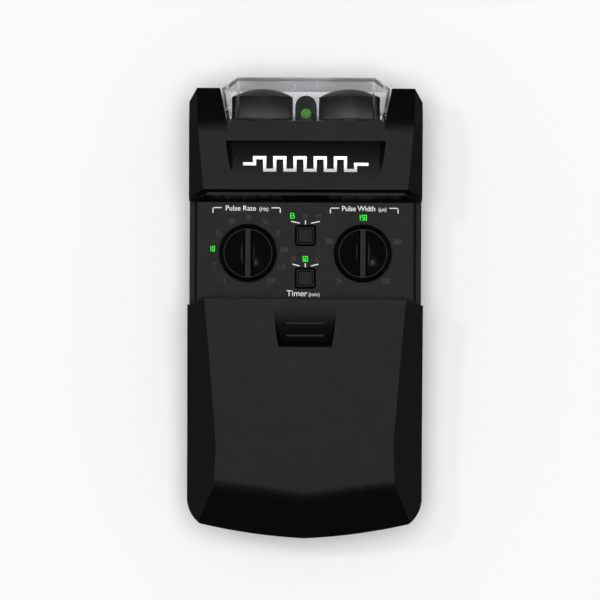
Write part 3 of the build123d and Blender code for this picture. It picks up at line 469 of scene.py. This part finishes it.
LEGEND_RADIUS = 10.05 * MM
RATE_WORDS = ["1", "5", "10", "15", "20", "30", "50", "75", "100", "120", "150"]
RATE_ANGLES = [229.0 - 27.9 * step for step in range(len(RATE_WORDS))]
WIDTH_WORDS = ["50", "100", "150", "200", "260"]
WIDTH_ANGLES = [229.0, 160.0, 90.0, 19.5, -50.0]
BUTTON_LEGENDS = (  # (group, words, y and places along x in millimetres)
    ("mode", ("B", "N", "M"), 25.75, (-3.65, 0.0, 3.7)),
    ("timer", ("30", "60", "C"), 13.75, (-3.35, 0.0, 3.65)),
)
LIT = {("rate", "10"), ("width", "150"), ("mode", "B"), ("timer", "60")}


def dial_centre(node):
    """Middle of a dial's box."""
    low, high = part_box(node)
    return (low + high) / 2


def legend_words():
    """Every back-lit legend as (group, word, x, y)."""
    rows = []
    for group, words, y, places in BUTTON_LEGENDS:
        for x, word in zip(places, words):
            rows.append((group, word, x * MM, y * MM))
    for group, words, angles, node in (("rate", RATE_WORDS, RATE_ANGLES, "rate_dial"),
                                       ("width", WIDTH_WORDS, WIDTH_ANGLES, "width_dial")):
        centre = dial_centre(node)
        for word, angle in zip(words, angles):
            turn = math.radians(angle)
            x = centre.x + LEGEND_RADIUS * math.cos(turn)
            y = centre.y + LEGEND_RADIUS * math.sin(turn)
            rows.append((group, word, x, y))
    return rows


def add_word(bm, word, centre, height, width, stroke):
    """Word of bar-built characters on the panel, centred on a point."""
    total = len(word) * width + (len(word) - 1) * GLYPH_GAP
    x = centre[0] - total / 2
    y = centre[1] - height / 2
    for letter in word:
        for line in GLYPHS[letter]:
            points = [(x + u * width, y + v * height) for u, v in line]
            for first, second in zip(points, points[1:]):
                add_bar(bm, first, second, stroke, PANEL_TOP, PRINT_THICKNESS)
        x += width + GLYPH_GAP


def make_legends():
    """Lit and unlit dead-front legends on the panel."""
    lit = bmesh.new()
    unlit = bmesh.new()
    for group, word, x, y in legend_words():
        width = LETTER_WIDTH if word.isalpha() else DIGIT_WIDTH
        if (group, word) in LIT:
            add_word(lit, word, (x, y), LIT_HEIGHT, width, LIT_STROKE)
        else:
            add_word(unlit, word, (x, y), UNLIT_HEIGHT, width, UNLIT_STROKE)
    glow = glowing("legend_glow", (0.01, 0.60, 0.02), strength=1.0)
    dim = ink("legend_dim", (0.050, 0.046, 0.040))
    piece_from(lit, "legends_lit", glow, "body")
    piece_from(unlit, "legends_unlit", dim, "body")


# ---------------------------------------------------------------- white print

LINE_WIDTH = 0.27 * MM
BRACKET_Y = 27.95 * MM
BRACKET_DROP = 1.3 * MM
BRACKETS = (  # (centre, half-length, half the gap for the title), in millimetres
    (-16.47, 9.4, 7.1),
    (16.4, 9.45, 7.15),
)
FANS = (  # (top, half-spread), in millimetres
    (24.35, 3.9),
    (12.4, 3.5),
)
FAN_STEM = 0.85 * MM
FAN_OUTER_DROP = 0.17 * MM
FAN_INNER_DROP = 0.62 * MM
FAN_INNER_X = 1.72 * MM


def make_markings(white):
    """White brackets over the dials and the fans of lines over the buttons."""
    bm = bmesh.new()

    def line(start, end):
        add_bar(bm, start, end, LINE_WIDTH, PANEL_TOP, PRINT_THICKNESS)

    for centre, half, gap_half in BRACKETS:
        for side in (-1, 1):
            outer = (centre + side * half) * MM
            inner = (centre + side * gap_half) * MM
            line((outer, BRACKET_Y), (inner, BRACKET_Y))
            line((outer, BRACKET_Y), (outer, BRACKET_Y - BRACKET_DROP))
    for top, spread in FANS:
        y = top * MM
        line((0.0, y), (0.0, y - FAN_STEM))
        for side in (-1, 1):
            outer = (side * spread * MM, y - FAN_OUTER_DROP)
            line(outer, (side * FAN_INNER_X, y - FAN_INNER_DROP))
    piece_from(bm, "printed_lines", white, "body")


TITLE_HALF_THICKNESS = 0.01 * MM
TITLE_BOLDNESS = 0.006
UNIT_HEIGHT = 1.5 * MM
TITLES = (  # (piece, title, its height and spacing, unit, gap before the unit, centre and baseline)
    ("title_rate", "Pulse Rate", 2.05 * MM, 1.0, "(Hz)", 0.85 * MM, (-16.4 * MM, 27.15 * MM)),
    ("title_width", "Pulse Width", 2.05 * MM, 0.93, "(µs)", 0.85 * MM, (16.35 * MM, 27.15 * MM)),
    ("title_timer", "Timer", 2.35 * MM, 1.0, "(min)", 0.3 * MM, (-0.58 * MM, 3.3 * MM)),
)


def text_mesh(text, height, spacing):
    """Mesh of one line of text, which starts at the origin."""
    curve = bpy.data.curves.new("title_run", "FONT")
    curve.body = text
    curve.size = height
    curve.space_character = spacing
    curve.extrude = TITLE_HALF_THICKNESS
    curve.offset = height * TITLE_BOLDNESS
    run = bpy.data.objects.new("title_run", curve)
    bpy.context.scene.collection.objects.link(run)
    bpy.context.view_layer.update()
    graph = bpy.context.evaluated_depsgraph_get()
    mesh = bpy.data.meshes.new_from_object(run.evaluated_get(graph))
    bpy.data.objects.remove(run)
    bpy.data.curves.remove(curve)
    return mesh


def make_titles(white):
    """Generic titles, each with its unit, over the dials and under the timer button."""
    for name, title, height, spacing, unit, gap, (centre_x, base_y) in TITLES:
        bm = bmesh.new()
        x = 0.0
        for run in ((title, height, spacing), (unit, UNIT_HEIGHT, 1.0)):
            mesh = text_mesh(*run)
            width = max(v.co.x for v in mesh.vertices)
            for vertex in mesh.vertices:
                vertex.co.x += x
            bm.from_mesh(mesh)
            bpy.data.meshes.remove(mesh)
            x += width + gap
        for vertex in bm.verts:
            vertex.co.x += centre_x - (x - gap) / 2
            vertex.co.y += base_y
            vertex.co.z += PANEL_TOP + TITLE_HALF_THICKNESS
        piece_from(bm, name, white, "body")


# ---------------------------------------------------------------- dial pointers

POINTER_HALF_LENGTH = 6.05 * MM
POINTER_WIDTH = 1.45 * MM
POINTER_SINK = 0.02 * MM
POINTER_THICKNESS = 0.05 * MM


def make_pointer(name, node, body, paint):
    """Pointer inlay along the top of a dial's grip bar, whose pale grey is partly its own colour and
    partly painted light on the bar's flat top.
    """
    centre = dial_centre(node)
    base_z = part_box(node)[1].z - POINTER_SINK
    start = (centre.x, centre.y - POINTER_HALF_LENGTH)
    end = (centre.x, centre.y + POINTER_HALF_LENGTH)
    bm = bmesh.new()
    add_bar(bm, start, end, POINTER_WIDTH, base_z, POINTER_THICKNESS)
    piece_from(bm, name, paint, body)


# ---------------------------------------------------------------- stage

FLOOR_RADIUS = 3.0
SOFTBOX_PLACE = (0.0, 0.03, 1.6)
SOFTBOX_TARGET = (0.0, 0.03, 0.0)
SOFTBOX_SIZE = 0.95
SOFTBOX_RADIANCE = 9.8
GLINT_PLACE = (-0.655, 0.28, 1.33)
GLINT_TARGET = (0.0, 0.0, 0.03)
GLINT_SIZE = 0.10
GLINT_RADIANCE = 56.0
SURROUND_STRENGTH = 0.28
CAMERA_DISTANCE = 1.0
CAMERA_X = -1.44 * MM
CAMERA_Y = 2.23 * MM
CAMERA_ROLL = 0.25
VIEW_WIDTH = 166.3 * MM


def make_floor():
    """Plain pale floor under the unit."""
    bpy.ops.mesh.primitive_circle_add(vertices=96, radius=FLOOR_RADIUS, fill_type="NGON")
    floor = bpy.context.object
    floor.name = "floor"
    s = Surface("floor_paper", (0.857, 0.857, 0.854), roughness=0.9, specular=0.1)
    s.mottle(size=200 * MM, spread=0.004)
    s.grain(size=0.8 * MM, depth=4 * MICRON)
    floor.data.materials.append(s.material)


def disc_light(name, place, target, size, radiance):
    """Round area light of the given radiance, turned to face target."""
    data = bpy.data.lights.new(name, "AREA")
    data.shape = "DISK"
    data.size = size
    data.energy = radiance * math.pi * math.pi * (size / 2) ** 2
    lamp = bpy.data.objects.new(name, data)
    lamp.location = place
    lamp.rotation_euler = (Vector(place) - Vector(target)).to_track_quat("Z", "Y").to_euler()
    bpy.context.scene.collection.objects.link(lamp)


def make_lights():
    """Large overhead softbox, a small lamp that glints in the dials, and a dim surround."""
    disc_light("softbox", SOFTBOX_PLACE, SOFTBOX_TARGET, SOFTBOX_SIZE, SOFTBOX_RADIANCE)
    disc_light("glint", GLINT_PLACE, GLINT_TARGET, GLINT_SIZE, GLINT_RADIANCE)
    world = bpy.data.worlds.new("surround")
    world.use_nodes = True
    background = world.node_tree.nodes["Background"]
    background.inputs["Color"].default_value = (1.0, 1.0, 1.0, 1.0)
    background.inputs["Strength"].default_value = SURROUND_STRENGTH
    bpy.context.scene.world = world


def make_camera():
    """Long lens straight above the unit, turned a quarter of a degree."""
    data = bpy.data.cameras.new("camera")
    data.sensor_width = 36.0
    data.lens = data.sensor_width * CAMERA_DISTANCE / VIEW_WIDTH
    data.clip_start = 0.05
    data.clip_end = 20.0
    camera = bpy.data.objects.new("camera", data)
    camera.location = (CAMERA_X, CAMERA_Y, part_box("front_housing")[1].z + CAMERA_DISTANCE)
    camera.rotation_euler = (0.0, 0.0, math.radians(CAMERA_ROLL))
    bpy.context.scene.collection.objects.link(camera)
    bpy.context.scene.camera = camera
    bpy.context.scene.view_settings.view_transform = "Standard"


dress_nodes(make_materials())
white_ink = ink("ink_white", (0.78, 0.78, 0.77))
make_legends()
make_markings(white_ink)
make_titles(white_ink)
# pointer inlays: their grey is partly painted light on the dial bars' flat tops
pointer_paint_and_light = moulded_plastic("pointer_paint_and_light", POINTER_GREY_AND_PAINTED_LIGHT, 0.36, 0.047, FINE_GRAIN)
make_pointer("rate_pointer", "rate_dial", "rate_selector", pointer_paint_and_light)
make_pointer("width_pointer", "width_dial", "width_selector", pointer_paint_and_light)
make_floor()
make_lights()
make_camera()
